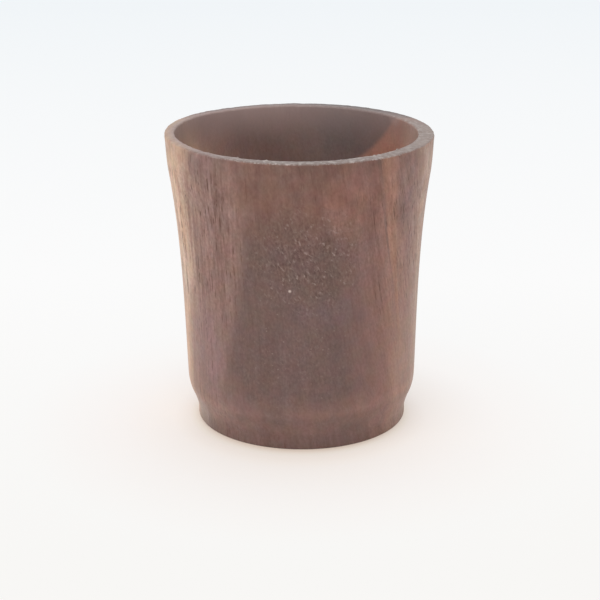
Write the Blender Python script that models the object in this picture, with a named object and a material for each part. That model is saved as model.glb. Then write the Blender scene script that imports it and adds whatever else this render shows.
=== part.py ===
"""Schnapps cup, turned from one upright-grain blank of walnut, standing on its foot at the origin.

The outside and the bore are two turned shapes. The bore is cut a little off the cup's axis, as it is on
the real cup, whose wall is thinner on the left than on the right.
"""

import math

import bmesh
import bpy

MM = 0.001

# Heights, from the table upwards
CUP_HEIGHT = 55.0 * MM
FOOT_HEIGHT = 2.2 * MM
COVE_HEIGHT = 3.2 * MM
ARRIS_HEIGHT = 3.6 * MM
LIP_HEIGHT = 7.0 * MM

# Outside radii
FOOT_RADIUS = 19.85 * MM
ARRIS_RADIUS = 20.92 * MM
WALL_RADIUS = 21.68 * MM
LIP_RADIUS = 24.2 * MM
RIM_RADIUS = 24.75 * MM

# How fast the outside radius grows with height, at the joins of its stretches
COVE_SLOPE = 0.27
ARRIS_SLOPE = 0.47
WALL_SLOPE = 0.03
LIP_SLOPE = 0.155
RIM_SLOPE = 0.06

# Bore
RIM_WALL = 2.35 * MM
FLOOR_WALL = 3.1 * MM
FLOOR_THICKNESS = 6.5 * MM
FLOOR_FILLET = 7.0 * MM
BORE_OFFSET = 0.55 * MM

# Small edges
RIM_ROUND = 0.35 * MM
FOOT_CHAMFER = 0.4 * MM

# How finely the curves are drawn
TURN_STEPS = 80
WALL_STEPS = 8
SHORT_STEPS = 3
MERGE_DISTANCE = 0.01 * MM
SHARP_ANGLE = math.radians(35.0)

# The bore's cutter stands this far out of the mouth
CUTTER_PROUD = 1.0 * MM


def clear_scene():
    """Removes every object, so that the cup stands alone."""
    for old in list(bpy.data.objects):
        bpy.data.objects.remove(old, do_unlink=True)


def walnut():
    """Oiled walnut, satin and mid brown."""
    material = bpy.data.materials.new("oiled_walnut")
    material.use_nodes = True
    shader = material.node_tree.nodes["Principled BSDF"]
    shader.inputs["Base Color"].default_value = (0.175, 0.112, 0.092, 1.0)
    shader.inputs["Roughness"].default_value = 0.5
    shader.inputs["Metallic"].default_value = 0.0
    return material


def outside_knots():
    """The joins of the outside's stretches, foot to rim, each as (height, radius, slope)."""
    arris_start = FOOT_HEIGHT + COVE_HEIGHT
    return [
        (FOOT_HEIGHT, FOOT_RADIUS, COVE_SLOPE),
        (arris_start, ARRIS_RADIUS, ARRIS_SLOPE),
        (arris_start + ARRIS_HEIGHT, WALL_RADIUS, WALL_SLOPE),
        (CUP_HEIGHT - LIP_HEIGHT, LIP_RADIUS, LIP_SLOPE),
        (CUP_HEIGHT, RIM_RADIUS, RIM_SLOPE),
    ]


def outside_radius(height):
    """The outside radius at a height above the foot, on a cubic between the two joins around it."""
    knots = outside_knots()
    for low, high in zip(knots, knots[1:]):
        if height <= high[0]:
            break
    span = high[0] - low[0]
    t = (height - low[0]) / span
    rise = t * t * (3.0 - 2.0 * t)
    start = t * (1.0 - t) ** 2 * span * low[2]
    end = t * t * (t - 1.0) * span * high[2]
    return low[1] + (high[1] - low[1]) * rise + start + end


def bore_radius(height):
    """The bore's radius: the outside less a wall that thickens evenly from the rim down to the floor."""
    depth = (CUP_HEIGHT - height) / (CUP_HEIGHT - FLOOR_THICKNESS)
    return outside_radius(height) - RIM_WALL - (FLOOR_WALL - RIM_WALL) * depth


def between(low, high, steps):
    """Evenly spaced values from high down to low, with both ends."""
    return [high + (low - high) * i / steps for i in range(steps + 1)]


def quarter_round(centre, radius, start_degrees, steps):
    """Points (radius, height) on a quarter circle, turning clockwise from the starting angle."""
    angles = [math.radians(start_degrees - 90.0 * i / steps) for i in range(steps + 1)]
    return [(centre[0] + radius * math.cos(a), centre[1] + radius * math.sin(a)) for a in angles]


def outside_outline():
    """(radius, height) points down the outside, from the middle of the top to the middle of the foot."""
    edge_height = CUP_HEIGHT - RIM_ROUND
    edge_radius = outside_radius(edge_height)
    points = [(0.0, CUP_HEIGHT)]
    points += quarter_round((edge_radius - RIM_ROUND, edge_height), RIM_ROUND, 90.0, SHORT_STEPS)
    heights = [knot[0] for knot in outside_knots()]
    heights[-1] = edge_height
    stretch_steps = (SHORT_STEPS, SHORT_STEPS, WALL_STEPS, SHORT_STEPS)
    for low, high, steps in reversed(list(zip(heights, heights[1:], stretch_steps))):
        points += [(outside_radius(z), z) for z in between(low, high, steps)[1:]]
    points += [
        (FOOT_RADIUS, FOOT_CHAMFER),
        (FOOT_RADIUS - FOOT_CHAMFER, 0.0),
        (0.0, 0.0),
    ]
    return points


def bore_outline():
    """(radius, height) points down the bore, from above the mouth to the middle of the floor."""
    mouth_height = CUP_HEIGHT - RIM_ROUND
    mouth_radius = bore_radius(mouth_height)
    fillet_height = FLOOR_THICKNESS + FLOOR_FILLET
    fillet_radius = bore_radius(fillet_height)
    points = [
        (0.0, CUP_HEIGHT + CUTTER_PROUD),
        (mouth_radius + RIM_ROUND, CUP_HEIGHT + CUTTER_PROUD),
    ]
    mouth_edge = quarter_round((mouth_radius + RIM_ROUND, mouth_height), RIM_ROUND, 180.0, SHORT_STEPS)
    points += reversed(mouth_edge)
    points += [(bore_radius(z), z) for z in between(fillet_height, mouth_height, WALL_STEPS)[1:]]
    corner = (fillet_radius - FLOOR_FILLET, fillet_height)
    points += quarter_round(corner, FLOOR_FILLET, 0.0, 2 * SHORT_STEPS)[1:]
    points.append((0.0, FLOOR_THICKNESS))
    return points


def turned(name, outline):
    """An object whose outline, in the XZ plane, is spun once round the Z axis."""
    shape = bmesh.new()
    corners = [shape.verts.new((radius, 0.0, height)) for radius, height in outline]
    lines = [shape.edges.new(pair) for pair in zip(corners, corners[1:])]
    bmesh.ops.spin(
        shape,
        geom=corners + lines,
        cent=(0.0, 0.0, 0.0),
        axis=(0.0, 0.0, 1.0),
        angle=math.tau,
        steps=TURN_STEPS,
        use_merge=True,
    )
    bmesh.ops.remove_doubles(shape, verts=shape.verts, dist=MERGE_DISTANCE)
    bmesh.ops.recalc_face_normals(shape, faces=shape.faces)
    mesh = bpy.data.meshes.new(name)
    shape.to_mesh(mesh)
    shape.free()
    mesh.shade_smooth()
    mesh.set_sharp_from_angle(angle=SHARP_ANGLE)
    item = bpy.data.objects.new(name, mesh)
    bpy.context.scene.collection.objects.link(item)
    return item


def bore_cutter():
    """The space inside the cup, which only cuts and is never shown."""
    cutter = turned("bore_cutter", bore_outline())
    cutter.location.x = -BORE_OFFSET
    cutter.hide_render = True
    cutter.display_type = "WIRE"
    return cutter


def turned_cup():
    """The cup itself: the outside with the bore cut from it."""
    cup = turned("turned_cup", outside_outline())
    hollow = cup.modifiers.new("bore", "BOOLEAN")
    hollow.operation = "DIFFERENCE"
    hollow.solver = "EXACT"
    hollow.object = bore_cutter()
    cup.data.materials.append(walnut())
    return cup


clear_scene()
turned_cup()
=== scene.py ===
"""Looks of a schnapps cup turned from one upright blank of walnut: surface, wood and a pale studio.

The file is laid out as a Blender add-on and is run as a script. Sizes are in metres, with +Z up.
"""

import math

import bpy
import numpy as np
from bpy.props import FloatProperty, FloatVectorProperty, PointerProperty
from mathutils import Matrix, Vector


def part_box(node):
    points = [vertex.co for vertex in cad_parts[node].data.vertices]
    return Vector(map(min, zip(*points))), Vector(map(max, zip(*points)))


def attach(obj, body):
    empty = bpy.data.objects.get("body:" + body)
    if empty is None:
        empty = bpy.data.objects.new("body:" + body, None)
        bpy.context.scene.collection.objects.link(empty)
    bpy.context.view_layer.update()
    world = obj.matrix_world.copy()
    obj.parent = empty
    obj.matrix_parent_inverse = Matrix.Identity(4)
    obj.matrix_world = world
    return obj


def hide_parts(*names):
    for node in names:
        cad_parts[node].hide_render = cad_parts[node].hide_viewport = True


bl_info = {
    "name": "Turned walnut schnapps cup",
    "version": (1, 0, 0),
    "blender": (4, 5, 0),
    "location": "View3D > Sidebar > Schnapps cup",
    "description": "Builds the turned surface, the oiled walnut and the studio of a schnapps cup",
    "category": "Object",
}

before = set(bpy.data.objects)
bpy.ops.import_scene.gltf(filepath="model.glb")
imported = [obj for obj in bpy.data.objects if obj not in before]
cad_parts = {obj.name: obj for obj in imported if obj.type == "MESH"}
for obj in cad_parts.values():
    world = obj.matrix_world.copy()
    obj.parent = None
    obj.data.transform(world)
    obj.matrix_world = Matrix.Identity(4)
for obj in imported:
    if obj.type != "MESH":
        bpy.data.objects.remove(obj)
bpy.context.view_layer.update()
CUP_NODE = "turned_cup"
CUP_LOW, CUP_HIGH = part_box(CUP_NODE)

MM = 0.001
PER_MM = 1000.0


def linear(hex_colour):
    """A colour written as sRGB hex, such as #6a5049, as linear red, green, blue and alpha."""
    shown = np.array([int(hex_colour[i : i + 2], 16) for i in (1, 3, 5)]) / 255.0
    light = np.where(shown <= 0.04045, shown / 12.92, ((shown + 0.055) / 1.055) ** 2.4)
    return (*light.tolist(), 1.0)


def length(name, description, millimetres):
    """A size that a user may change, kept in metres."""
    return FloatProperty(
        name=name,
        description=description,
        default=millimetres * MM,
        min=0.0,
        precision=5,
        unit="LENGTH",
    )


def angle(name, description, degrees):
    """An angle that a user may change, kept in radians."""
    return FloatProperty(name=name, description=description, default=math.radians(degrees), subtype="ANGLE")


def share(name, description, default):
    """A share from 0 to 1 that a user may change."""
    return FloatProperty(
        name=name,
        description=description,
        default=default,
        min=0.0,
        max=1.0,
        subtype="FACTOR",
    )


def colour(name, description, hex_colour):
    """A colour that a user may change, kept linear."""
    return FloatVectorProperty(
        name=name,
        description=description,
        default=linear(hex_colour),
        size=4,
        min=0.0,
        max=1.0,
        subtype="COLOR",
    )


class CupSizes(bpy.types.PropertyGroup):
    """Sizes of the turned cup, from the table upwards and from the outside in."""

    height: length("Height", "From the table to the top of the rim", (CUP_HIGH.z - CUP_LOW.z) * PER_MM)
    foot_height: length("Foot height", "Upright part of the foot, below the cove", 2.2)
    cove_height: length("Cove height", "From the foot to where the arris begins", 3.2)
    arris_height: length("Arris height", "The rounded shoulder above the cove", 3.6)
    lip_height: length("Lip height", "The flare below the rim", 7.0)
    foot_radius: length("Foot radius", "Outside of the foot", 19.85)
    arris_radius: length("Arris radius", "Outside where the arris begins", 20.92)
    wall_radius: length("Wall radius", "Outside at the bottom of the wall", 21.68)
    lip_radius: length("Lip radius", "Outside where the lip begins to flare", 24.2)
    rim_radius: length("Rim radius", "Outside of the rim", 24.75)
    rim_wall: length("Wall at the rim", "Thickness of the wall at the rim", 2.35)
    floor_wall: length("Wall at the floor", "Thickness of the wall at the floor's height", 3.1)
    floor_thickness: length("Floor", "Wood under the bore", 6.5)
    floor_fillet: length("Floor fillet", "Round between the bore's wall and its floor", 7.0)
    bore_offset: length("Bore offset", "How far left of the cup's axis the bore was cut", 0.55)
    rim_round: length("Rim round", "Softened edges of the rim", 0.35)
    foot_round: length("Foot round", "Softened edge of the foot", 0.4)
    lean: length("Lean", "How far left of the foot's middle the rim's middle stands", 0.44)
    rim_waver: length("Rim waver", "How far the hand-sanded rim strays from true", 0.03)
    rim_rise: length("Rim rise", "How much higher the rim was left on its left side", 0.3)


class WalnutLook(bpy.types.PropertyGroup):
    """Colours and grain sizes of the oiled walnut."""

    heart: colour("Heart", "Dark taupe figure at the front", "#664e48")
    left_edge: colour("Left edge", "Wood beside the heart, on its left", "#7e6159")
    left_brown: colour("Left brown", "Greyish brown of the left side", "#886860")
    left_tan: colour("Left tan", "Where the left brown pales to sapwood", "#997a6c")
    sapwood: colour("Sapwood", "Pale edge of the blank on the left", "#cca78e")
    right_edge: colour("Right edge", "Wood beside the heart, on its right", "#755751")
    right_brown: colour("Right brown", "Reddish brown of the right side", "#805d54")
    right_tan: colour("Right tan", "Paler brown beside the streak", "#906a5d")
    streak: colour("Streak", "Orange streak on the right", "#9e7462")
    right_grey: colour("Right grey", "Greyer wood beyond the streak", "#9a776b")
    # Also painted light on the right side of the foot, in a soft patch
    right_pale: colour("Right pale", "Far right of the blank", "#b49382")
    left_red: colour("Left red", "Reddish wood towards the back, on the left", "#94746c")
    right_red: colour("Right red", "Reddish wood towards the back, on the right", "#996a59")
    back: colour("Back", "Dark figure at the back", "#664f49")
    umber: colour("Umber", "Darkest part of the figure at the back", "#454142")
    lip: colour("Lip", "Warm brown of the heart towards the lip, and of a patch on the left", "#7a5649")
    blush: colour("Blush", "Reddish patch under the lip", "#875d51")
    violet: colour("Violet", "Faint violet clouds of the front and of both sides", "#6b5458")
    mauve: colour("Mauve", "Faint mauve of the lower left", "#93777a")
    # Painted light: the paler heart over the foot stands in for light thrown up from the table
    foot: colour("Foot", "The heart where it pales towards the foot", "#73564f")
    pore: colour("Pore", "Open pores, dark inside", "#4c2917")
    # Pale polish in the pores, together with the painted glints of light on it
    fleck: colour("Fleck", "Pores that hold pale polish", "#b8a49b")
    # Also used as painted light in the upper bore, over the drier wood there
    dry: colour("Dry wood", "Wood of the bore that has lost its oil near the rim", "#a68f8a")
    end_grain: colour("End grain", "Dry end grain of the rim", "#83756f")
    # Also painted light on the left side of the foot, in a soft patch
    fibre: colour("Fibre", "Torn fibres of the rim, and the palest wood of the left", "#d5ccc6")
    pith_front: length("Pith in front", "How far in front of the cup's axis the tree's middle was", 70.0)
    pith_right: length("Pith to the right", "How far right of the cup's axis the tree's middle was", 2.0)
    lean_front: angle("Lean to the front", "How far the fibres lean to the front as they rise", 8.0)
    lean_left: angle("Lean to the left", "How far the fibres lean to the left as they rise", 4.0)
    ring_width: length("Ring width", "Spacing of the growth rings", 2.2)
    pore_spacing: length("Pore spacing", "Spacing of the pores across the grain", 0.45)
    pore_run: length("Pore run", "Spacing of the pores along the grain", 25.0)
    fleck_spacing: length("Fleck spacing", "Spacing of the pale flecks", 0.45)


class StudioLook(bpy.types.PropertyGroup):
    """Table, light and camera."""

    paint: colour("Paint", "White of the table, as it lights the cup", "#f4f2ef")
    near: colour("Near table", "What the camera sees of the table in front", "#f8f7f5")
    middle: colour("Middle table", "What the camera sees of the table beside the cup", "#fbfbfb")
    far: colour("Far table", "What the camera sees of the table behind the cup", "#f1f5f8")
    near_glow: share("Near glow", "How much of the table's white shows in the shadow by the foot", 0.35)
    far_glow: share("Far glow", "How much of the table's white shows in the shadow further out", 0.95)
    sky: FloatProperty(
        name="Sky",
        description="Strength of the even white light all round",
        default=0.7,
        min=0.0,
    )
    key: FloatProperty(
        name="Key",
        description="Strength of the wide soft light from the front, above and a little to the left",
        default=1.45,
        min=0.0,
    )
    key_spread: angle("Key spread", "How wide the soft light is, seen from the cup", 65.0)
    lens: FloatProperty(
        name="Lens",
        description="Focal length of the camera",
        default=100.2,
        unit="CAMERA",
    )
    camera_height: length("Camera height", "Camera above the table", 124.6)
    camera_distance: length("Camera distance", "Camera in front of the cup's axis", 300.6)
    camera_left: length("Camera left", "Camera to the left of the cup's axis", 0.1)
    camera_pitch: angle("Camera pitch", "How far the camera looks down", 18.8)


# The turned surface

# How fast the outside radius grows with height at each join of its stretches
COVE_SLOPE, ARRIS_SLOPE, WALL_SLOPE, LIP_SLOPE, RIM_SLOPE = 0.27, 0.47, 0.03, 0.155, 0.06
# Columns round the turn, and rows in each stretch of the outline
COLUMNS = 560
ROWS = {"under": 12, "foot_edge": 4, "foot": 4, "cove": 9, "arris": 12, "wall": 40, "lip": 16}
ROWS |= {"rim_edge": 5, "rim": 9, "bore": 36, "fillet": 10, "floor": 10}
# Radius of the fans that close the surface at its two poles
POLE_RADIUS = 0.4 * MM
# The flat map of the surface: its scale, and where the underside and the bore's floor lie on it
MAP_SCALE = 1.0 / (158.0 * MM)
UNDERSIDE_SPOT = (0.13, 0.86)
FLOOR_SPOT = (0.37, 0.86)
# How far down from its top the rim's dry end grain reaches
RIM_EDGE = 0.35 * MM
# Lines along which the rim strays: fewest and most waves round the turn, how fast they fade, and a seed
OUTER_LINE = (3, 160, 0.35, 1)
INNER_LINE = (3, 160, 0.35, 2)
TOP_LINE = (3, 120, 0.5, 3)
BURR_LINE = (60, 250, 0.0, 4)
# How far down from its top the rim strays, and its torn fibres stand
STRAY_REACH = 1.0 * MM
BURR_REACH = 0.25 * MM
# Fibres are torn on rows past this share of the bore's offset, where their line passes this level
BURR_SHARE = 0.85
BURR_LEVEL = 1.4
# How much of the rim's waver goes to its height, and how many times higher the torn fibres stand
TOP_SHARE = 0.7
BURR = 6.0
# How closely the rim's rise keeps to the far left
RISE_POWER = 3


def outside_radius(size, heights):
    """The outside radius at each height: cubics that join knots of height, radius and slope."""
    cove_top = size.foot_height + size.cove_height
    knots = np.array(
        [
            (size.foot_height, size.foot_radius, COVE_SLOPE),
            (cove_top, size.arris_radius, ARRIS_SLOPE),
            (cove_top + size.arris_height, size.wall_radius, WALL_SLOPE),
            (size.height - size.lip_height, size.lip_radius, LIP_SLOPE),
            (size.height, size.rim_radius, RIM_SLOPE),
        ]
    )
    at = np.clip(np.searchsorted(knots[:, 0], heights, side="right") - 1, 0, len(knots) - 2)
    low, high = knots[at].T, knots[at + 1].T
    span = high[0] - low[0]
    t = (heights - low[0]) / span
    rise = t * t * (3.0 - 2.0 * t)
    start = t * (1.0 - t) ** 2 * span * low[2]
    end = t * t * (t - 1.0) * span * high[2]
    return low[1] + (high[1] - low[1]) * rise + start + end


def bore_radius(size, heights):
    """The bore's radius: the outside less a wall that thickens evenly from the rim down to the floor."""
    depth = (size.height - heights) / (size.height - size.floor_thickness)
    return outside_radius(size, heights) - size.rim_wall - (size.floor_wall - size.rim_wall) * depth


def stretch(start, end, rows):
    """Even steps from start towards end, which is left to the next stretch."""
    return np.linspace(start, end, rows, endpoint=False)


def arc(centre_radius, centre_height, radius, start, end, rows):
    """Radius and height on an arc about a centre, from one angle in degrees towards another."""
    turn = np.radians(stretch(start, end, rows))
    return np.stack([centre_radius + radius * np.cos(turn), centre_height + radius * np.sin(turn)], 1)


def outline(size):
    """Radius and height of each row, and how much of the bore's offset it takes.

    The rows run from the middle of the underside out to the foot, up the outside, over the rim and down
    the bore to the middle of its floor. Also returned are the first row of the foot's edge and of the flat
    floor of the bore.
    """
    foot_flat = size.foot_radius - size.foot_round
    edge_height = size.height - size.rim_round
    edge_radius = outside_radius(size, np.array([edge_height]))[0] - size.rim_round
    mouth_radius = bore_radius(size, np.array([edge_height]))[0] + size.rim_round
    fillet_height = size.floor_thickness + size.floor_fillet
    floor_flat = bore_radius(size, np.array([fillet_height]))[0] - size.floor_fillet
    cove_top = size.foot_height + size.cove_height
    arris_top = cove_top + size.arris_height
    lip_start = size.height - size.lip_height

    under = stretch(POLE_RADIUS, foot_flat, ROWS["under"])
    foot = stretch(size.foot_round, size.foot_height, ROWS["foot"])
    outside = np.concatenate(
        [
            stretch(size.foot_height, cove_top, ROWS["cove"]),
            stretch(cove_top, arris_top, ROWS["arris"]),
            stretch(arris_top, lip_start, ROWS["wall"]),
            stretch(lip_start, edge_height, ROWS["lip"]),
        ]
    )
    top = stretch(edge_radius, mouth_radius, ROWS["rim"])
    inside = stretch(edge_height, fillet_height, ROWS["bore"])
    floor = stretch(floor_flat, POLE_RADIUS, ROWS["floor"])
    parts = [
        np.stack([under, np.zeros_like(under)], 1),
        arc(foot_flat, size.foot_round, size.foot_round, -90.0, 0.0, ROWS["foot_edge"]),
        np.stack([np.full_like(foot, size.foot_radius), foot], 1),
        np.stack([outside_radius(size, outside), outside], 1),
        arc(edge_radius, edge_height, size.rim_round, 0.0, 90.0, ROWS["rim_edge"]),
        np.stack([top, np.full_like(top, size.height)], 1),
        arc(mouth_radius, edge_height, size.rim_round, 90.0, 180.0, ROWS["rim_edge"]),
        np.stack([bore_radius(size, inside), inside], 1),
        arc(floor_flat, fillet_height, size.floor_fillet, 0.0, -90.0, ROWS["fillet"]),
        np.stack([floor, np.full_like(floor, size.floor_thickness)], 1),
    ]
    shares = [0.0, 0.0, 0.0, 0.0, 0.0, stretch(0.0, 1.0, len(top)), 1.0, 1.0, 1.0, 1.0]
    bore_share = np.concatenate([np.zeros(len(part)) + taken for part, taken in zip(parts, shares)])
    rows = np.concatenate(parts)
    return rows[:, 0], rows[:, 1], bore_share, len(under), len(rows) - len(floor)


def wavering(turn, fewest, most, fall, seed):
    """A closed wavering line of unit spread: a cosine for each number of waves, fainter with more waves."""
    chance = np.random.default_rng(seed)
    waves = np.arange(fewest, most + 1)
    phase = chance.uniform(0.0, math.tau, len(waves))
    line = waves.astype(float) ** -fall @ np.cos(waves[:, None] * turn + phase[:, None])
    return line / line.std()


def cup_points(size, turn):
    """The cup's rows of points: each row of the outline spun round, leaning left and wavering at the rim.

    A row is a circle of its radius whose middle slides left with height, by the lean, and by the bore's
    offset inside. Near the rim each point also strays in radius and height by smooth lines round the turn,
    the left side stands higher, and a few fibres stand up on the inner edge.
    """
    radius, height, bore_share = outline(size)[:3]
    down = size.height - height
    near_rim = np.exp(-((down / STRAY_REACH) ** 2))
    burr_rows = np.exp(-((down / BURR_REACH) ** 2)) * (bore_share > BURR_SHARE)
    stray = (near_rim * (1.0 - bore_share))[:, None] * wavering(turn, *OUTER_LINE)
    stray += (near_rim * bore_share)[:, None] * wavering(turn, *INNER_LINE)
    rise = near_rim[:, None] * wavering(turn, *TOP_LINE)
    rise += BURR * burr_rows[:, None] * np.maximum(wavering(turn, *BURR_LINE) - BURR_LEVEL, 0.0)
    r = radius[:, None] + size.rim_waver * stray
    middle = size.lean * (0.5 - height / size.height) - size.bore_offset * bore_share
    x = middle[:, None] + r * np.cos(turn)
    y = r * np.sin(turn)
    left = np.maximum(-np.cos(turn), 0.0) ** RISE_POWER
    z = height[:, None] + TOP_SHARE * size.rim_waver * rise
    z += size.rim_rise * near_rim[:, None] * left
    return np.stack([x, y, z], 2)


def flat_map(size, corner_row, corner_turn):
    """Where each face corner lies on a flat map of the surface, at one scale.

    The wall, rim and bore are a band, along by turn and up by distance along the outline. The underside
    and the bore's floor are discs beside each other above it.
    """
    radius, height, _, foot_row, floor_row = outline(size)
    run = np.concatenate([[0.0], np.cumsum(np.hypot(np.diff(radius), np.diff(height)))])
    first = corner_row.min(axis=1, keepdims=True)
    disc_radius = MAP_SCALE * radius[corner_row]
    maps = [np.stack([corner_turn / math.tau, MAP_SCALE * (run[corner_row] - run[foot_row])], -1)]
    for spot in (UNDERSIDE_SPOT, FLOOR_SPOT):
        across = spot[0] + disc_radius * np.cos(corner_turn)
        along = spot[1] + disc_radius * np.sin(corner_turn)
        maps.append(np.stack([across, along], -1))
    under = (first < foot_row)[..., None]
    floor = (first >= floor_row)[..., None]
    return np.where(under, maps[1], np.where(floor, maps[2], maps[0]))


def grid_corners(count):
    """The row and the column of each corner of the quads between neighbouring rows."""
    row, column = np.meshgrid(np.arange(count - 1), np.arange(COLUMNS), indexing="ij")
    corner_row = np.stack([row, row, row + 1, row + 1], 2).reshape(-1, 4)
    corner_column = np.stack([column, column + 1, column + 1, column], 2).reshape(-1, 4)
    return corner_row, corner_column


def filled_mesh(name, points, quads, triangles):
    """A mesh of the points with the quads first and then the triangles."""
    corners = np.concatenate([quads.ravel(), triangles.ravel()])
    sides = np.concatenate([np.full(len(quads), 4), np.full(len(triangles), 3)])
    mesh = bpy.data.meshes.new(name)
    mesh.vertices.add(len(points))
    mesh.vertices.foreach_set("co", points.astype(np.float32).ravel())
    mesh.loops.add(len(corners))
    mesh.loops.foreach_set("vertex_index", corners.astype(np.int32))
    mesh.polygons.add(len(sides))
    mesh.polygons.foreach_set("loop_start", (np.cumsum(sides) - sides).astype(np.int32))
    mesh.update(calc_edges=True)
    return mesh


def turned_mesh(name, size):
    """A closed mesh of quads between the rows and fans at the two poles, with a flat map of the surface.

    Its points also hold their share of the bore and of the rim's dry edge.
    """
    turn = np.arange(COLUMNS) * (math.tau / COLUMNS)
    height, bore_share = outline(size)[1:3]
    rows = cup_points(size, turn)
    low_pole = (size.lean / 2.0, 0.0, 0.0)
    high_pole = (rows[-1, :, 0].mean(), 0.0, size.floor_thickness)
    points = np.concatenate([rows.reshape(-1, 3), [low_pole, high_pole]])
    corner_row, corner_column = grid_corners(len(rows))
    quads = corner_row * COLUMNS + corner_column % COLUMNS
    here = np.arange(COLUMNS)
    after = (here + 1) % COLUMNS
    last = (len(rows) - 1) * COLUMNS
    low_fan = np.stack([np.full(COLUMNS, len(points) - 2), after, here], 1)
    high_fan = np.stack([last + here, last + after, np.full(COLUMNS, len(points) - 1)], 1)
    mesh = filled_mesh(name, points, quads, np.concatenate([low_fan, high_fan]))

    band = flat_map(size, corner_row, corner_column * (math.tau / COLUMNS)).reshape(-1, 2)
    ring = MAP_SCALE * POLE_RADIUS * np.stack([np.cos(turn), np.sin(turn)], 1)
    low_disc = np.array(UNDERSIDE_SPOT) + np.stack([0.0 * ring, ring[after], ring], 1)
    high_disc = np.array(FLOOR_SPOT) + np.stack([ring, ring[after], 0.0 * ring], 1)
    spots = np.concatenate([band, low_disc.reshape(-1, 2), high_disc.reshape(-1, 2)])
    mesh.uv_layers.new(name="OFBake").data.foreach_set("uv", spots.astype(np.float32).ravel())

    rim_share = np.clip((height - size.height) / RIM_EDGE + 1.0, 0.0, 1.0)
    for attribute, values in (("bore", bore_share), ("rim", rim_share)):
        per_point = np.concatenate([np.repeat(values, COLUMNS), [values[0], values[-1]]])
        data = mesh.attributes.new(attribute, "FLOAT", "POINT").data
        data.foreach_set("value", per_point.astype(np.float32))
    mesh.validate()
    mesh.shade_smooth()
    return mesh


# Materials

# Ring distances, in millimetres, between which the blank's colours are laid
FIRST_RING, LAST_RING = 50.0, 100.0
# Height at which the ring distances hold, and how much more or less some parts of the figure lean
RING_HEIGHT = 25.0
LEANS = {"left_ring": 0.06, "right_ring": -0.06, "streak_ring": 0.045}
# Waves to a millimetre of the fibres' slow sway, and how far it moves the rings and the pores
SWAY_WAVES = (0.07, 0.07, 0.018)
RING_SWAY, FIBRE_SWAY = (3.0, 3.0, 0.0), (1.5, 1.5, 0.0)
# How far the fibres move right and back for each millimetre down the wall, at its far left and far right
LEFT_FIBRES, RIGHT_FIBRES = (0.02, 0.02, 0.0), (0.2, 0.24, 0.0)
FAR_LEFT, FAR_RIGHT = -20.0, 20.0
# How much more the right part of the dark figure at the back leans, and the height above which it does
BACK_LEAN, BACK_HEIGHT = 0.36, 46.0
# Ring distance of the orange streak's middle
STREAK_RING = 63.0
# Height of the painted highlight along the shoulder, a paler line, and how much it rises to the right
SHOULDER_HIGHLIGHT_HEIGHT, SHOULDER_HIGHLIGHT_RISE = 7.4, 0.05
# Millimetres added to the ring distances to choose which rings are light and which are dark
RING_START = 37.0
# How much of the grain's light and dark goes to red, green and blue: its dark lines are a little redder
GRAIN_TONE = (0.77, 1.0, 1.07)
# How the pale dashes of polish slant, and how deep a dark pore is against the swing of the grain
FLECK_SLANT = (0.0, math.radians(35.0), 0.0)
PORE_DEPTH = 0.8
# Settings of a node that steps smoothly from one value to another, and of one that mixes two colours
SOFT = {"interpolation_type": "SMOOTHSTEP"}
COLOURS = {"out": 2, "data_type": "RGBA"}

# Inputs given by number: MapRange has its value, two ends to measure it between and what it gives at them,
# and Mix has its share and then what it mixes, 2 and 3, 4 and 5 or 6 and 7 for numbers, vectors or colours


def add(tree, kind, links=None, out=0, stops=(), **settings):
    """Adds one shader node and returns an output of it, or the node itself where out is None.

    kind is the node's kind, followed by its operation where it has one. settings are its own properties,
    links gives its inputs, each a socket to join or a value, and stops are the positions and colours of a
    ramp.
    """
    kind, _, operation = kind.partition(" ")
    node = tree.nodes.new("ShaderNode" + kind)
    if operation:
        node.operation = operation
    for name, value in settings.items():
        setattr(node, name, value)
    for key, value in (links or {}).items():
        if isinstance(value, bpy.types.NodeSocket):
            tree.links.new(value, node.inputs[key])
        else:
            node.inputs[key].default_value = value
    for position, _ in stops[2:]:
        node.color_ramp.elements.new(position)
    for element, (position, shade) in zip(node.color_ramp.elements if stops else (), stops):
        element.position = position
        element.color = shade
    return node if out is None else node.outputs[out]


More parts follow.
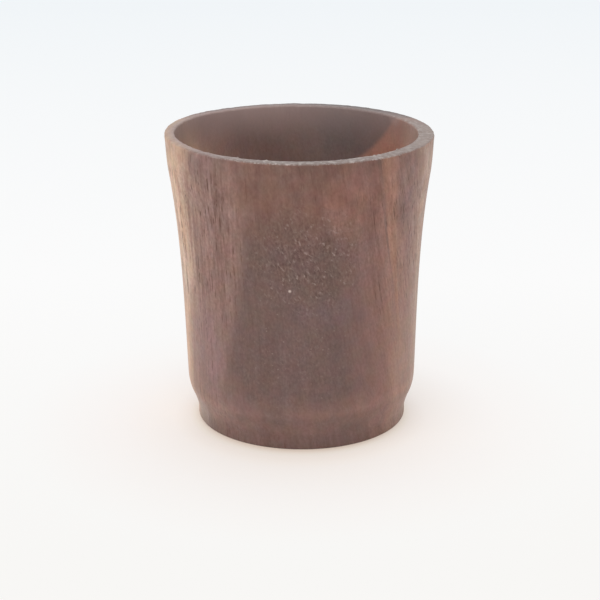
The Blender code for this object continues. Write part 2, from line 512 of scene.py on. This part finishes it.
def walnut_space(tree, look):
    """Places in the blank, in millimetres.

    place is measured in the cup, and x, y and z are its parts. fibre is the place less the fibres' lean,
    which grows from left to right, swayed a little as real fibres are, so that what runs along its Z
    follows the fibres. The wall cuts them at a slant, into long lines on the left and short ones on the
    right. ring is the distance from the pith, which leans. left_ring, right_ring and streak_ring lean more
    or less than it, upright_ring stands upright below the lip, and so does back_ring, which leans more
    above.
    """
    cup = add(tree, "TexCoord", out="Object")
    place = add(tree, "VectorMath SCALE", {0: cup, "Scale": PER_MM})
    pith = (-look.pith_right * PER_MM, look.pith_front * PER_MM, 0.0)
    tilt = (-look.lean_front, look.lean_left, 0.0)
    blank = add(tree, "Mapping", {"Vector": place, "Location": pith, "Rotation": tilt})
    slow = add(tree, "VectorMath MULTIPLY", {0: blank, 1: SWAY_WAVES})
    sway = add(tree, "TexNoise", {"Vector": slow, "Scale": 1.0, "Detail": 2.0}, out="Color")
    sway = add(tree, "VectorMath SUBTRACT", {0: sway, 1: (0.5, 0.5, 0.5)})
    grain = add(tree, "VectorMath MULTIPLY_ADD", {0: sway, 1: RING_SWAY, 2: blank})
    across = add(tree, "VectorMath MULTIPLY", {0: grain, 1: (1.0, 1.0, 0.0)})
    ring = add(tree, "VectorMath LENGTH", {0: across}, out="Value")
    parts = add(tree, "SeparateXYZ", {0: place}, out=None)
    above = add(tree, "Math SUBTRACT", {0: parts.outputs["Z"], 1: RING_HEIGHT})
    fibre = add(tree, "VectorMath MULTIPLY_ADD", {0: sway, 1: FIBRE_SWAY, 2: place})
    right = add(tree, "MapRange", {0: parts.outputs["X"], 1: FAR_LEFT, 2: FAR_RIGHT})
    lean = add(tree, "Mix", {0: right, 4: LEFT_FIBRES, 5: RIGHT_FIBRES}, out=1, data_type="VECTOR")
    fibre = add(tree, "VectorMath MULTIPLY_ADD", {0: parts.outputs["Z"], 1: lean, 2: fibre})
    wood = {"place": place, "fibre": fibre, "ring": ring}
    wood.update((name.lower(), parts.outputs[name]) for name in "XYZ")
    for name, more in LEANS.items():
        wood[name] = add(tree, "Math MULTIPLY_ADD", {0: above, 1: more, 2: ring})
    below = add(tree, "Math SUBTRACT", {0: BACK_HEIGHT, 1: parts.outputs["Z"]})
    below = add(tree, "Math MAXIMUM", {0: below, 1: 0.0})
    upright = add(tree, "Math MULTIPLY_ADD", {0: below, 1: math.sin(look.lean_front), 2: ring})
    above = add(tree, "Math MAXIMUM", {0: above, 1: BACK_HEIGHT - RING_HEIGHT})
    wood["upright_ring"] = upright
    wood["back_ring"] = add(tree, "Math MULTIPLY_ADD", {0: above, 1: BACK_LEAN, 2: upright})
    return wood


def fades(tree, wood, *steps, amount=1.0):
    """An amount times soft steps, each a part of wood, two ends and what the step gives at each of them."""
    for part, start, end, first, last in steps:
        step = add(tree, "MapRange", {0: wood[part], 1: start, 2: end, 3: first, 4: last}, **SOFT)
        amount = add(tree, "Math MULTIPLY", {0: step, 1: amount})
    return amount


def patch(tree, wood, centre, radii, strength):
    """A soft patch of the cup: strength at its centre and 0 beyond its radii, which are in millimetres."""
    off = add(tree, "VectorMath SUBTRACT", {0: wood["place"], 1: centre})
    off = add(tree, "VectorMath DIVIDE", {0: off, 1: radii})
    off = add(tree, "VectorMath LENGTH", {0: off}, out="Value")
    return add(tree, "MapRange", {0: off, 1: 1.0, 2: 0.2, 3: 0.0, 4: strength}, **SOFT)


def orange_streak(tree, wood):
    """The streak on the right: broad below the lip, a thin line lower down, and gone near the foot.

    Also returned is the dark line along its left side.
    """
    half = add(tree, "MapRange", {0: wood["z"], 1: 30.0, 2: 50.0, 3: 0.4, 4: 1.35})
    off = add(tree, "Math SUBTRACT", {0: wood["streak_ring"], 1: STREAK_RING})
    off = add(tree, "Math DIVIDE", {0: off, 1: half})
    right = add(tree, "Math GREATER_THAN", {0: wood["x"], 1: 0.0})
    bands = []
    # Where each band's middle lies in half widths of the streak, its own half width, and where it fades
    for middle, reach, gone, full, most in ((0.0, 1.5, 12.0, 30.0, 0.9), (-1.35, 0.35, 32.0, 40.0, 0.5)):
        band = add(tree, "Math SUBTRACT", {0: off, 1: middle})
        band = add(tree, "Math ABSOLUTE", {0: band})
        band = add(tree, "MapRange", {0: band, 1: reach, 2: 0.35 * reach}, **SOFT)
        band = fades(tree, wood, ("z", gone, full, 0.0, most), amount=band)
        bands.append(add(tree, "Math MULTIPLY", {0: band, 1: right}))
    return bands


def ring_colours(tree, look, wood):
    """The blank's colours by ring distance, from the heart outwards, on the left and on the right.

    Also returned is how far right a place lies, from 0 to 1.
    """
    left_rings = (
        (55.7, look.heart),
        (57.2, look.left_edge),
        (62.6, look.left_brown),
        (66.2, look.left_tan),
        (70.2, look.sapwood),
        (90.0, look.sapwood),
        (93.5, look.left_red),
    )
    right_rings = (
        (52.2, look.heart),
        (54.4, look.right_edge),
        (57.4, look.right_brown),
        (61.0, look.right_tan),
        (66.5, look.right_grey),
        (71.2, look.right_pale),
        (84.0, look.right_pale),
        (88.0, look.right_red),
    )
    sides = []
    for ring, rings in ((wood["left_ring"], left_rings), (wood["right_ring"], right_rings)):
        reach = add(tree, "MapRange", {0: ring, 1: FIRST_RING, 2: LAST_RING})
        stops = [((at - FIRST_RING) / (LAST_RING - FIRST_RING), shade) for at, shade in rings]
        sides.append(add(tree, "ValToRGB", {"Fac": reach}, stops=stops))
    side = fades(tree, wood, ("x", -6.0, 6.0, 0.0, 1.0))
    base = add(tree, "Mix", {0: side, 6: sides[0], 7: sides[1]}, **COLOURS)
    return base, side


def soft_patches(look):
    """Soft patches of colour, each as its middle and radii in millimetres, its strength and its colour.

    Each lies over those before it. The last two are painted light at the foot's sides, thrown up from the
    table.
    """
    return (
        ((9.8, -22.1, 48.0), (11.0, 11.0, 8.5), 0.65, look.blush),
        ((8.3, -22.0, 43.5), (4.0, 5.0, 5.0), 0.4, look.right_tan),
        ((-13.6, -18.5, 36.0), (4.5, 5.0, 8.0), 0.3, look.lip),
        ((5.5, -22.0, 27.0), (8.0, 8.0, 4.5), 0.4, look.violet),
        ((-18.2, -16.4, 52.5), (5.0, 6.0, 4.0), 0.3, look.violet),
        ((-17.5, -13.0, 17.0), (7.0, 8.0, 12.0), 0.3, look.mauve),
        ((18.9, -14.9, 47.5), (4.0, 5.0, 10.0), 0.4, look.violet),
        ((20.5, -11.5, 40.0), (3.0, 7.0, 10.0), 0.15, look.violet),
        ((-20.3, -12.7, 46.0), (5.0, 5.0, 11.0), 0.35, look.left_brown),
        ((-16.5, -12.5, 6.0), (8.0, 9.0, 5.0), 0.1, look.sapwood),
        ((-21.3, -7.0, 30.0), (3.0, 5.0, 9.0), 0.2, look.fibre),
        ((-4.5, -20.6, 7.5), (4.0, 4.0, 4.0), 0.5, look.heart),
        ((-12.6, -17.3, 10.5), (4.0, 5.0, 5.0), 0.3, look.left_brown),
        ((10.6, -18.4, 8.5), (6.0, 6.0, 4.5), 0.35, look.right_tan),
        ((-3.9, -20.5, 5.6), (1.8, 3.0, 2.0), 0.4, look.heart),
        ((9.5, -18.0, 3.8), (5.0, 4.0, 1.6), 0.5, look.heart),
        ((-15.6, -13.8, 9.5), (3.5, 4.0, 6.0), 0.13, look.heart),
        ((19.0, -11.0, 14.0), (6.0, 8.0, 14.0), 0.25, look.right_pale),
        # Painted light: the next two lighten the foot's sides, where light from the table falls
        ((-18.8, -6.5, 2.5), (6.0, 8.0, 6.0), 0.2, look.fibre),
        ((17.6, -9.5, 1.5), (5.0, 7.0, 3.0), 0.35, look.right_pale),
    )


def figure(tree, look, wood):
    """The blank's broad colours: by ring, then the back, the lip, painted light from the table on the foot,
    the streak and soft patches.
    """
    base, side = ring_colours(tree, look, wood)
    left_back = fades(tree, wood, ("upright_ring", 92.2, 97.8, 0.0, 1.0))
    right_back = fades(tree, wood, ("back_ring", 101.6, 102.8, 0.0, 1.0))
    back = add(tree, "Mix", {0: side, 2: left_back, 3: right_back})
    lip = fades(tree, wood, ("ring", 59.5, 54.5, 0.0, 1.0), ("z", 37.0, 48.0, 0.0, 0.65))
    # Painted light: the heart and the greyish brown of the sides pale over the cove and foot, where light
    # thrown up from the table falls
    foot = ("z", 11.5, 5.5, 0.0, 0.9)
    bounce_lit_side = fades(tree, wood, foot, ("ring", 61.0, 57.0, 0.0, 0.65), ("x", -4.0, 12.0, 1.0, 0.4))
    bounce_lit_front = fades(tree, wood, foot, ("ring", 56.0, 51.5, 0.0, 1.0))
    streak, streak_line = orange_streak(tree, wood)
    layers = [
        (back, look.back),
        (patch(tree, wood, (9.0, 20.0, 56.0), (13.0, 12.0, 16.0), 0.62), look.umber),
        (lip, look.lip),
        (bounce_lit_side, look.left_brown),
        (bounce_lit_front, look.foot),
        (streak, look.streak),
        (streak_line, look.heart),
    ]
    for middle, radii, strength, shade in soft_patches(look):
        layers.append((patch(tree, wood, middle, radii, strength), shade))
    for amount, shade in layers:
        base = add(tree, "Mix", {0: amount, 6: base, 7: shade}, **COLOURS)
    return base


def shaded_edges_and_highlight(tree, wood, base):
    """The base colour darker at the bottom of the foot and towards the rim: painted shade, where the table
    shades the foot and where the flared lip turns from the light.

    Along the shoulder over the foot runs a painted highlight, a paler line.
    """
    # Heights where the painted shade is darkest and where it ends, and how much of the colour it leaves
    # Painted shade: darker towards the bottom of the foot, by the table, and towards the rim
    for low, high, shaded in ((0.8, 4.4, 0.755), (53.6, 50.0, 0.88)):
        edge = fades(tree, wood, ("z", low, high, shaded, 1.0))
        base = add(tree, "VectorMath SCALE", {0: base, "Scale": edge})
    # Painted highlight: a paler line along the shoulder over the foot
    off = add(tree, "Math MULTIPLY_ADD", {0: wood["x"], 1: -SHOULDER_HIGHLIGHT_RISE, 2: wood["z"]})
    off = add(tree, "Math SUBTRACT", {0: off, 1: SHOULDER_HIGHLIGHT_HEIGHT})
    off = add(tree, "Math ABSOLUTE", {0: off})
    painted_highlight = add(tree, "MapRange", {0: off, 1: 1.6, 2: 0.1, 3: 1.0, 4: 1.11}, **SOFT)
    return add(tree, "VectorMath SCALE", {0: base, "Scale": painted_highlight})


def tinted(tree, wood, base):
    """The base colour with soft blotches a few millimetres wide, reddish or greenish, violet or olive."""
    # Waves to a millimetre, and the two casts between which each noise swings
    for waves, one, other in (
        (0.45, (0.95, 1.005, 1.005, 1.0), (1.045, 0.99, 0.985, 1.0)),
        (0.3, (1.0, 1.01, 0.95, 1.0), (1.0, 0.99, 1.05, 1.0)),
    ):
        cloud = add(tree, "TexNoise", {"Vector": wood["place"], "Scale": waves, "Detail": 3.0})
        cloud = add(tree, "MapRange", {0: cloud, 1: 0.35, 2: 0.65})
        cast = add(tree, "Mix", {0: cloud, 6: one, 7: other}, **COLOURS)
        base = add(tree, "Mix", {0: 1.0, 6: base, 7: cast}, blend_type="MULTIPLY", **COLOURS)
    return base


def polish_and_glint_front(tree, wood):
    """How much pale polish and painted glint the pores of the front show: most above the middle, in loose
    clusters.
    """
    upper = patch(tree, wood, (1.5, -22.5, 37.0), (15.0, 12.0, 14.0), 1.0)
    lower = patch(tree, wood, (-2.0, -21.5, 18.0), (16.0, 12.0, 15.0), 0.25)
    where = add(tree, "Math MAXIMUM", {0: upper, 1: lower})
    cluster = add(tree, "TexNoise", {"Vector": wood["place"], "Scale": 0.4, "Detail": 3.0})
    cluster = add(tree, "MapRange", {0: cluster, 1: 0.35, 2: 0.62, 3: 0.3, 4: 1.0}, **SOFT)
    return add(tree, "Math MULTIPLY", {0: where, 1: cluster})


def open_grain(tree, wood, bore):
    """How open the grain looks, up to 1: most on the upper left, less on the right, and least inside.

    A little shows everywhere, more at the lip and at the foot.
    """
    sides = fades(
        tree,
        wood,
        ("ring", 54.5, 58.0, 0.0, 1.0),
        ("z", 18.0, 36.0, 0.3, 1.0),
        ("z", 47.0, 53.0, 1.0, 0.4),
        ("x", -4.0, 8.0, 1.0, 0.55),
    )
    for edge in (("z", 38.0, 46.0, 0.13, 0.22), ("z", 6.0, 2.0, 0.0, 0.3)):
        sides = add(tree, "Math MAXIMUM", {0: sides, 1: fades(tree, wood, edge)})
    outer = add(tree, "MapRange", {0: bore, 3: 1.0, 4: 0.1})
    return add(tree, "Math MULTIPLY", {0: sides, 1: outer})


def grain_shade(tree, look, wood, openness, polish_and_glint):
    """How light the wood is, about 1: rings, bands and threads along the fibres, clouds, and a mottle,
    which on the polished front is painted light and shade of small relief.
    """
    # What open grain adds to the bold, middling and fine patterns, and how strongly they show without it
    bold, middling, fine = (
        add(tree, "Math MULTIPLY_ADD", {0: openness, 1: more, 2: least})
        for more, least in ((0.5, 0.16), (1.1, 0.1), (0.08, 0.05))
    )
    # Painted light and shade of the front's small relief: the fine mottle swings most where the front is
    # polished
    relief_shading = add(tree, "Math MULTIPLY_ADD", {0: polish_and_glint, 1: 1.45, 2: 0.5})
    relief_shading = add(tree, "Math MULTIPLY_ADD", {0: openness, 1: 0.35, 2: relief_shading})
    blotch = add(tree, "MapRange", {0: wood["z"], 1: 38.0, 2: 46.0, 3: 0.0, 4: 0.75})
    front = add(tree, "MapRange", {0: wood["y"], 1: 4.0, 2: -10.0})
    blotch = add(tree, "Math MULTIPLY_ADD", {0: blotch, 1: front, 2: 0.2})
    year = add(tree, "Math ADD", {0: wood["ring"], 1: RING_START})
    waves = 1.0 / (look.ring_width * PER_MM)
    rings = add(tree, "TexNoise", {"W": year, "Scale": waves, "Detail": 3.0}, noise_dimensions="1D")
    patterns = [(rings, bold)]
    # Waves to a millimetre across and along the fibres, and how strongly each pattern shows
    for across, along, spread in (
        (0.7, 0.03, bold),
        (1.8, 0.18, middling),
        (4.0, 0.5, fine),
        (0.14, 0.14, 0.25),
        (0.4, 0.3, blotch),
        (2.2, 1.6, relief_shading),
    ):
        spot = add(tree, "VectorMath MULTIPLY", {0: wood["fibre"], 1: (across, across, along)})
        patterns.append((add(tree, "TexNoise", {"Vector": spot, "Scale": 1.0, "Detail": 2.0}), spread))
    shade = 1.0
    for pattern, spread in patterns:
        swing = add(tree, "Math SUBTRACT", {0: pattern, 1: 0.5})
        swing = add(tree, "Math MULTIPLY_ADD", {0: swing, 1: spread, 2: 1.0})
        shade = add(tree, "Math MULTIPLY", {0: swing, 1: shade})
    return shade


def cells(tree, places, size, smallest, largest):
    """Small bodies strewn through the wood, one to a cell of the given size, 1 in a body's middle.

    Each body's radius is a chance share of its cell, between smallest and largest.
    """
    steps = tuple(1.0 / side for side in size)
    spread = add(tree, "VectorMath MULTIPLY", {0: places, 1: steps})
    body = add(tree, "TexVoronoi", {"Vector": spread, "Scale": 1.0}, out=None)
    chance = add(tree, "SeparateColor", {0: body.outputs["Color"]})
    radius = add(tree, "MapRange", {0: chance, 3: smallest, 4: largest})
    reach = add(tree, "Math DIVIDE", {0: body.outputs["Distance"], 1: radius})
    return add(tree, "MapRange", {0: reach, 1: 1.0, 2: 0.4}, **SOFT)


def pore_lines(tree, look, wood):
    """Pores, long tubes along the fibres, which show as lines or rows of dashes where they are cut.

    The finest pores of walnut are too fine to show, so they are drawn as hairlines about 0.15 mm wide,
    where a slow noise passes its middle value.
    """
    wide, run = look.pore_spacing * PER_MM, look.pore_run * PER_MM
    long_pores = cells(tree, wood["fibre"], (1.15 * wide, 1.15 * wide, run), 0.03, 0.46)
    short_pores = cells(tree, wood["fibre"], (wide, wide, 0.16 * run), 0.0, 0.31)
    slow = add(tree, "VectorMath MULTIPLY", {0: wood["fibre"], 1: (1.0, 1.0, 0.04)})
    hair = add(tree, "TexNoise", {"Vector": slow, "Scale": 1.0, "Detail": 3.0})
    hair = add(tree, "Math SUBTRACT", {0: hair, 1: 0.5})
    hair = add(tree, "Math ABSOLUTE", {0: hair})
    hair = add(tree, "MapRange", {0: hair, 1: 0.03, 2: 0.0, 3: 0.0, 4: 0.2}, **SOFT)
    broad_pores = cells(tree, wood["fibre"], (1.4 * wide, 1.4 * wide, 0.4 * run), 0.0, 0.32)
    broad_pores = add(tree, "Math MULTIPLY", {0: broad_pores, 1: 0.4})
    broken = add(tree, "VectorMath MULTIPLY", {0: wood["fibre"], 1: (1.2, 1.2, 0.6)})
    broken = add(tree, "TexNoise", {"Vector": broken, "Scale": 1.0, "Detail": 2.0})
    broken = add(tree, "MapRange", {0: broken, 1: 0.4, 2: 0.54, 3: 0.05, 4: 1.0}, **SOFT)
    pores = add(tree, "Math MULTIPLY", {0: long_pores, 1: broken})
    for more in (short_pores, broad_pores, hair):
        pores = add(tree, "Math MAXIMUM", {0: pores, 1: more})
    return pores


def pale_flecks(tree, look, wood, polish_and_glint):
    """Pale polish in the cut pores of the front, with painted glints on it: small slanting dashes,
    scattered dots, and a bright speck of polish with a painted glint.

    The dashes are where a fine noise, drawn out along a slant, comes near its highest.
    """
    wave = 1.0 / (look.fleck_spacing * PER_MM)
    slant = add(tree, "Mapping", {"Vector": wood["place"], "Rotation": FLECK_SLANT})
    slant = add(tree, "VectorMath MULTIPLY", {0: slant, 1: (wave, wave, 0.5 * wave)})
    flecks = add(tree, "TexNoise", {"Vector": slant, "Scale": 1.0, "Detail": 2.0})
    flecks = add(tree, "MapRange", {0: flecks, 1: 0.55, 2: 0.76, 3: 0.0, 4: 0.45}, **SOFT)
    flecks = add(tree, "Math MULTIPLY", {0: flecks, 1: polish_and_glint})
    dots = cells(tree, wood["place"], (1.0, 1.0, 1.0), 0.0, 0.2)
    front = patch(tree, wood, (-1.0, -21.5, 21.0), (17.0, 10.0, 26.0), 0.2)
    dots = add(tree, "Math MULTIPLY", {0: dots, 1: front})
    # A painted glint: one bright speck on the front
    speck = patch(tree, wood, (-1.9, -22.9, 31.5), (0.4, 3.0, 0.4), 1.0)
    for more in (dots, speck):
        flecks = add(tree, "Math MAXIMUM", {0: flecks, 1: more})
    return flecks


def dry_and_lit_bore(tree, look, wood, bore, base):
    """The base colour paler towards the top of the bore, most on its left: drier wood that has lost its
    oil, and painted light that falls into the upper bore and onto its left wall.
    """
    dry_and_lit = fades(tree, wood, ("z", 46.8, 55.4, 0.0, 0.54), ("x", -14.0, 10.0, 1.5, 0.8))
    # Painted light on the upper right of the bore as well, over the drier wood
    right = patch(tree, wood, (18.3, 12.5, 55.0), (3.6, 4.5, 3.6), 0.6)
    dry_and_lit = add(tree, "Math MAXIMUM", {0: dry_and_lit, 1: right})
    dry_and_lit = add(tree, "Math MULTIPLY", {0: dry_and_lit, 1: bore})
    return add(tree, "Mix", {0: dry_and_lit, 6: base, 7: look.dry}, **COLOURS)


def torn_rim(tree, look, wood, base):
    """The base colour with the rim's dry end grain, less at the back and the left, and its torn fibres.
    Their fading towards the back is painted light, which catches them most at the front.
    """
    grit = add(tree, "TexNoise", {"Vector": wood["place"], "Scale": 3.0, "Detail": 2.0})
    rim = add(tree, "Attribute", out="Fac", attribute_name="rim")
    torn_and_lit = add(tree, "Math SUBTRACT", {0: grit, 1: 0.5})
    torn_and_lit = add(tree, "Math MULTIPLY_ADD", {0: torn_and_lit, 1: 1.2, 2: rim})
    torn_and_lit = add(tree, "MapRange", {0: torn_and_lit, 1: 0.35, 2: 0.75, 3: 0.0, 4: 0.8}, **SOFT)
    # Painted light: the end grain and its fibres fade towards the back, as if light caught them only at the
    # front
    torn_and_lit = fades(tree, wood, ("y", 18.0, 4.0, 0.2, 1.0), ("x", -18.0, -5.0, 0.3, 1.0), amount=torn_and_lit)
    base = add(tree, "Mix", {0: torn_and_lit, 6: base, 7: look.end_grain}, **COLOURS)
    speck = add(tree, "TexNoise", {"Vector": wood["place"], "Scale": 1.5, "Detail": 3.0})
    speck = add(tree, "MapRange", {0: speck, 1: 0.42, 2: 0.7, 3: 0.0, 4: 0.55}, **SOFT)
    speck = add(tree, "Math MULTIPLY", {0: speck, 1: torn_and_lit})
    speck = fades(tree, wood, ("x", 8.0, 18.0, 1.0, 0.55), amount=speck)
    return add(tree, "Mix", {0: speck, 6: base, 7: look.fibre}, **COLOURS)


def oiled_walnut(look):
    """Walnut turned, sanded and oiled: a satin brown with open pores that run up the wall.

    To the eye it is a soft sheen that whitens at the edges, dark pore lines on the sides, and pale polish
    in the pores of the front with painted glints. The end grain of the rim is drier and paler, with painted
    light at the front, and the bore beside it is paler from drier wood and painted light. Painted shade
    darkens the bottom of the foot and the lip, and painted light from the table lightens the foot and its
    shoulder.
    """
    material = bpy.data.materials.new("turned_oiled_walnut")
    material.use_nodes = True
    tree = material.node_tree
    shader = tree.nodes["Principled BSDF"]
    wood = walnut_space(tree, look)
    bore = add(tree, "Attribute", out="Fac", attribute_name="bore")
    openness = open_grain(tree, wood, bore)
    polish_and_glint = polish_and_glint_front(tree, wood)
    shade = grain_shade(tree, look, wood, openness, polish_and_glint)
    base = figure(tree, look, wood)
    base = shaded_edges_and_highlight(tree, wood, base)
    base = tinted(tree, wood, base)
    swing = add(tree, "Math SUBTRACT", {0: shade, 1: 1.0})
    tone = add(tree, "VectorMath MULTIPLY_ADD", {0: swing, 1: GRAIN_TONE, 2: (1.0, 1.0, 1.0)})
    base = add(tree, "VectorMath MULTIPLY", {0: base, 1: tone})
    base = dry_and_lit_bore(tree, look, wood, bore, base)

    pores = pore_lines(tree, look, wood)
    dark = add(tree, "MapRange", {0: openness, 1: 0.0, 2: 0.75})
    dark = add(tree, "Math MULTIPLY", {0: dark, 1: pores})
    base = add(tree, "Mix", {0: dark, 6: base, 7: look.pore}, **COLOURS)
    flecks = pale_flecks(tree, look, wood, polish_and_glint)
    base = add(tree, "Mix", {0: flecks, 6: base, 7: look.fleck}, **COLOURS)
    base = torn_rim(tree, look, wood, base)

    groove = add(tree, "Math MULTIPLY_ADD", {0: dark, 1: -PORE_DEPTH, 2: shade})
    bump = add(tree, "Bump", {"Strength": 0.25, "Distance": 0.1 * MM, "Height": groove})
    tree.links.new(base, shader.inputs["Base Color"])
    tree.links.new(bump, shader.inputs["Normal"])
    shader.inputs["Roughness"].default_value = 0.5
    shader.inputs["IOR"].default_value = 1.45
    return material


def looked_at(tree):
    """1 for a ray from the camera, a reflection or a view through glass, and 0 for light on a surface."""
    path = add(tree, "LightPath", out=None)
    seen = path.outputs["Is Camera Ray"]
    for ray in ("Is Glossy Ray", "Is Transmission Ray"):
        seen = add(tree, "Math MAXIMUM", {0: seen, 1: path.outputs[ray]})
    return seen


# How far in front of the cup's axis and behind it the table's seen white changes, in metres
TABLE_NEAR, TABLE_FAR = -0.1, 0.5
# Rings round the foot in which that white changes: centre, inner radius and outer radius. In the first the
# seen white has a painted warm bounce of light from the wood, in the second the table glows more to the
# camera further from the foot, and in the third it has a painted contact shadow.
BOUNCE_RING = ((0.0, -4.0 * MM, 0.0), 18.0 * MM, 54.0 * MM)
GLOW_RING = ((-4.0 * MM, -10.0 * MM, 0.0), 14.0 * MM, 45.0 * MM)
CONTACT_SHADOW_RING = ((0.0, -1.5 * MM, 0.0), 18.35 * MM, 24.35 * MM)
# Tints of the painted bounce and of the painted contact shadow from the inner to the outer radius: shares
# of the way, and colours
BOUNCE_TINTS = ((0.05, "#fff7f0"), (0.17, "#fffaf7"), (0.45, "#fffcfb"), (1.0, "#ffffff"))
CONTACT_SHADOW_TINTS = (
    (0.0, "#ece2da"),
    (0.12, "#f0e9e3"),
    (0.2, "#f5f1ed"),
    (0.33, "#f9f9f7"),
    (0.5, "#fcfcfd"),
    (1.0, "#ffffff"),
)


def table_white(look):
    """Matt white paint: it lights the cup from below, and to the camera it fades from warm to cool white.

    Round the foot the seen white has a painted warm bounce of light from the wood and a painted contact
    shadow, darkest where they touch, over the real shadow. Further out the table glows more to the camera.
    """
    material = bpy.data.materials.new("matt_white_table")
    material.use_nodes = True
    tree = material.node_tree
    tree.nodes.clear()
    place = add(tree, "TexCoord", out="Object")
    behind = add(tree, "SeparateXYZ", {0: place}, out="Y")
    reach = add(tree, "MapRange", {0: behind, 1: TABLE_NEAR, 2: TABLE_FAR})
    stops = [(0.06, look.near), (0.3, look.middle), (1.0, look.far)]
    seen = add(tree, "ValToRGB", {"Fac": reach}, stops=stops)
    reaches = []
    for ring, start, end in (
        (BOUNCE_RING, 0.0, 1.0),
        (CONTACT_SHADOW_RING, 0.0, 1.0),
        (GLOW_RING, look.near_glow, look.far_glow),
    ):
        centre, inner, outer = ring
        away = add(tree, "VectorMath DISTANCE", {0: place, 1: centre}, out="Value")
        reaches.append(add(tree, "MapRange", {0: away, 1: inner, 2: outer, 3: start, 4: end}))
    painted_bounce, painted_contact_shadow, glow = reaches
    for reach, tints in ((painted_bounce, BOUNCE_TINTS), (painted_contact_shadow, CONTACT_SHADOW_TINTS)):
        stops = [(at, linear(shade)) for at, shade in tints]
        tint = add(tree, "ValToRGB", {"Fac": reach}, stops=stops)
        seen = add(tree, "Mix", {0: 1.0, 6: seen, 7: tint}, blend_type="MULTIPLY", **COLOURS)
    light = add(tree, "Emission", {"Color": seen, "Strength": 1.0})
    paint = add(tree, "BsdfDiffuse", {"Color": look.paint})
    shadowed = add(tree, "BsdfDiffuse", {"Color": seen})
    shown = add(tree, "MixShader", {0: glow, 1: shadowed, 2: light})
    surface = add(tree, "MixShader", {0: looked_at(tree), 1: paint, 2: shown})
    add(tree, "OutputMaterial", {"Surface": surface}, out=None)
    return material


# Operators

# Half the table's side and the way to the soft light, in metres, and the camera's sensor in millimetres
TABLE_HALF = 1.5
KEY_FROM = Vector((-0.28, -0.6, 0.64))
SENSOR_WIDTH = 36.0


def place_object(name, mesh, material):
    """Puts a mesh into the scene as one object at the origin, with one material."""
    item = bpy.data.objects.new(name, mesh)
    item.data.materials.append(material)
    bpy.context.scene.collection.objects.link(item)
    return item


class SCHNAPPS_CUP_OT_cup(bpy.types.Operator):
    """Builds the turned cup and its wood"""

    bl_idname = "schnapps_cup.cup"
    bl_label = "Turned cup"

    def execute(self, context):
        mesh = turned_mesh("walnut_cup", context.scene.cup_sizes)
        cup = place_object("walnut_cup", mesh, oiled_walnut(context.scene.walnut_look))
        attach(cup, "root")
        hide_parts(CUP_NODE)
        return {"FINISHED"}


class SCHNAPPS_CUP_OT_studio(bpy.types.Operator):
    """Builds the white table, the soft light and the camera"""

    bl_idname = "schnapps_cup.studio"
    bl_label = "Studio"

    def execute(self, context):
        look = context.scene.studio_look
        mesh = bpy.data.meshes.new("table")
        sides = TABLE_HALF * np.array([(-1, -1, 0), (1, -1, 0), (1, 1, 0), (-1, 1, 0)])
        mesh.from_pydata(sides.tolist(), [], [(0, 1, 2, 3)])
        place_object("table", mesh, table_white(look))

        world = bpy.data.worlds.new("even_white_light")
        world.use_nodes = True
        tree = world.node_tree
        tree.nodes.clear()
        lit = add(tree, "Background", {"Color": linear("#ffffff"), "Strength": look.sky})
        seen = add(tree, "Background", {"Color": look.far, "Strength": 1.0})
        both = add(tree, "MixShader", {0: looked_at(tree), 1: lit, 2: seen})
        add(tree, "OutputWorld", {"Surface": both}, out=None)
        context.scene.world = world

        lamp = bpy.data.lights.new("soft_key", "SUN")
        lamp.energy = look.key
        lamp.angle = look.key_spread
        key = bpy.data.objects.new("soft_key", lamp)
        key.location = KEY_FROM
        key.rotation_euler = (-KEY_FROM).to_track_quat("-Z", "Y").to_euler()
        context.scene.collection.objects.link(key)

        data = bpy.data.cameras.new("camera")
        data.lens = look.lens
        data.sensor_width = SENSOR_WIDTH
        camera = bpy.data.objects.new("camera", data)
        camera.location = (-look.camera_left, -look.camera_distance, look.camera_height)
        camera.rotation_euler = (math.pi / 2.0 - look.camera_pitch, 0.0, 0.0)
        context.scene.collection.objects.link(camera)
        context.scene.camera = camera
        context.scene.view_settings.view_transform = "Standard"
        return {"FINISHED"}


class SCHNAPPS_CUP_PT_panel(bpy.types.Panel):
    """Lists the cup's steps, sizes and colours"""

    bl_idname = "SCHNAPPS_CUP_PT_panel"
    bl_label = "Schnapps cup"
    bl_space_type = "VIEW_3D"
    bl_region_type = "UI"
    bl_category = "Schnapps cup"

    def draw(self, context):
        for step in OPERATORS:
            self.layout.operator(step.bl_idname)
        for name in GROUPS:
            group = getattr(context.scene, name)
            for setting in group.__annotations__:
                self.layout.prop(group, setting)


OPERATORS = (SCHNAPPS_CUP_OT_studio, SCHNAPPS_CUP_OT_cup)
GROUPS = {"cup_sizes": CupSizes, "walnut_look": WalnutLook, "studio_look": StudioLook}
CLASSES = (*GROUPS.values(), *OPERATORS, SCHNAPPS_CUP_PT_panel)


def register():
    for cls in CLASSES:
        bpy.utils.register_class(cls)
    for name, group in GROUPS.items():
        setattr(bpy.types.Scene, name, PointerProperty(type=group))


def unregister():
    for name in GROUPS:
        delattr(bpy.types.Scene, name)
    for cls in reversed(CLASSES):
        bpy.utils.unregister_class(cls)


def main():
    """Builds everything."""
    register()
    bpy.ops.schnapps_cup.studio()
    bpy.ops.schnapps_cup.cup()


if __name__ == "__main__":
    main()
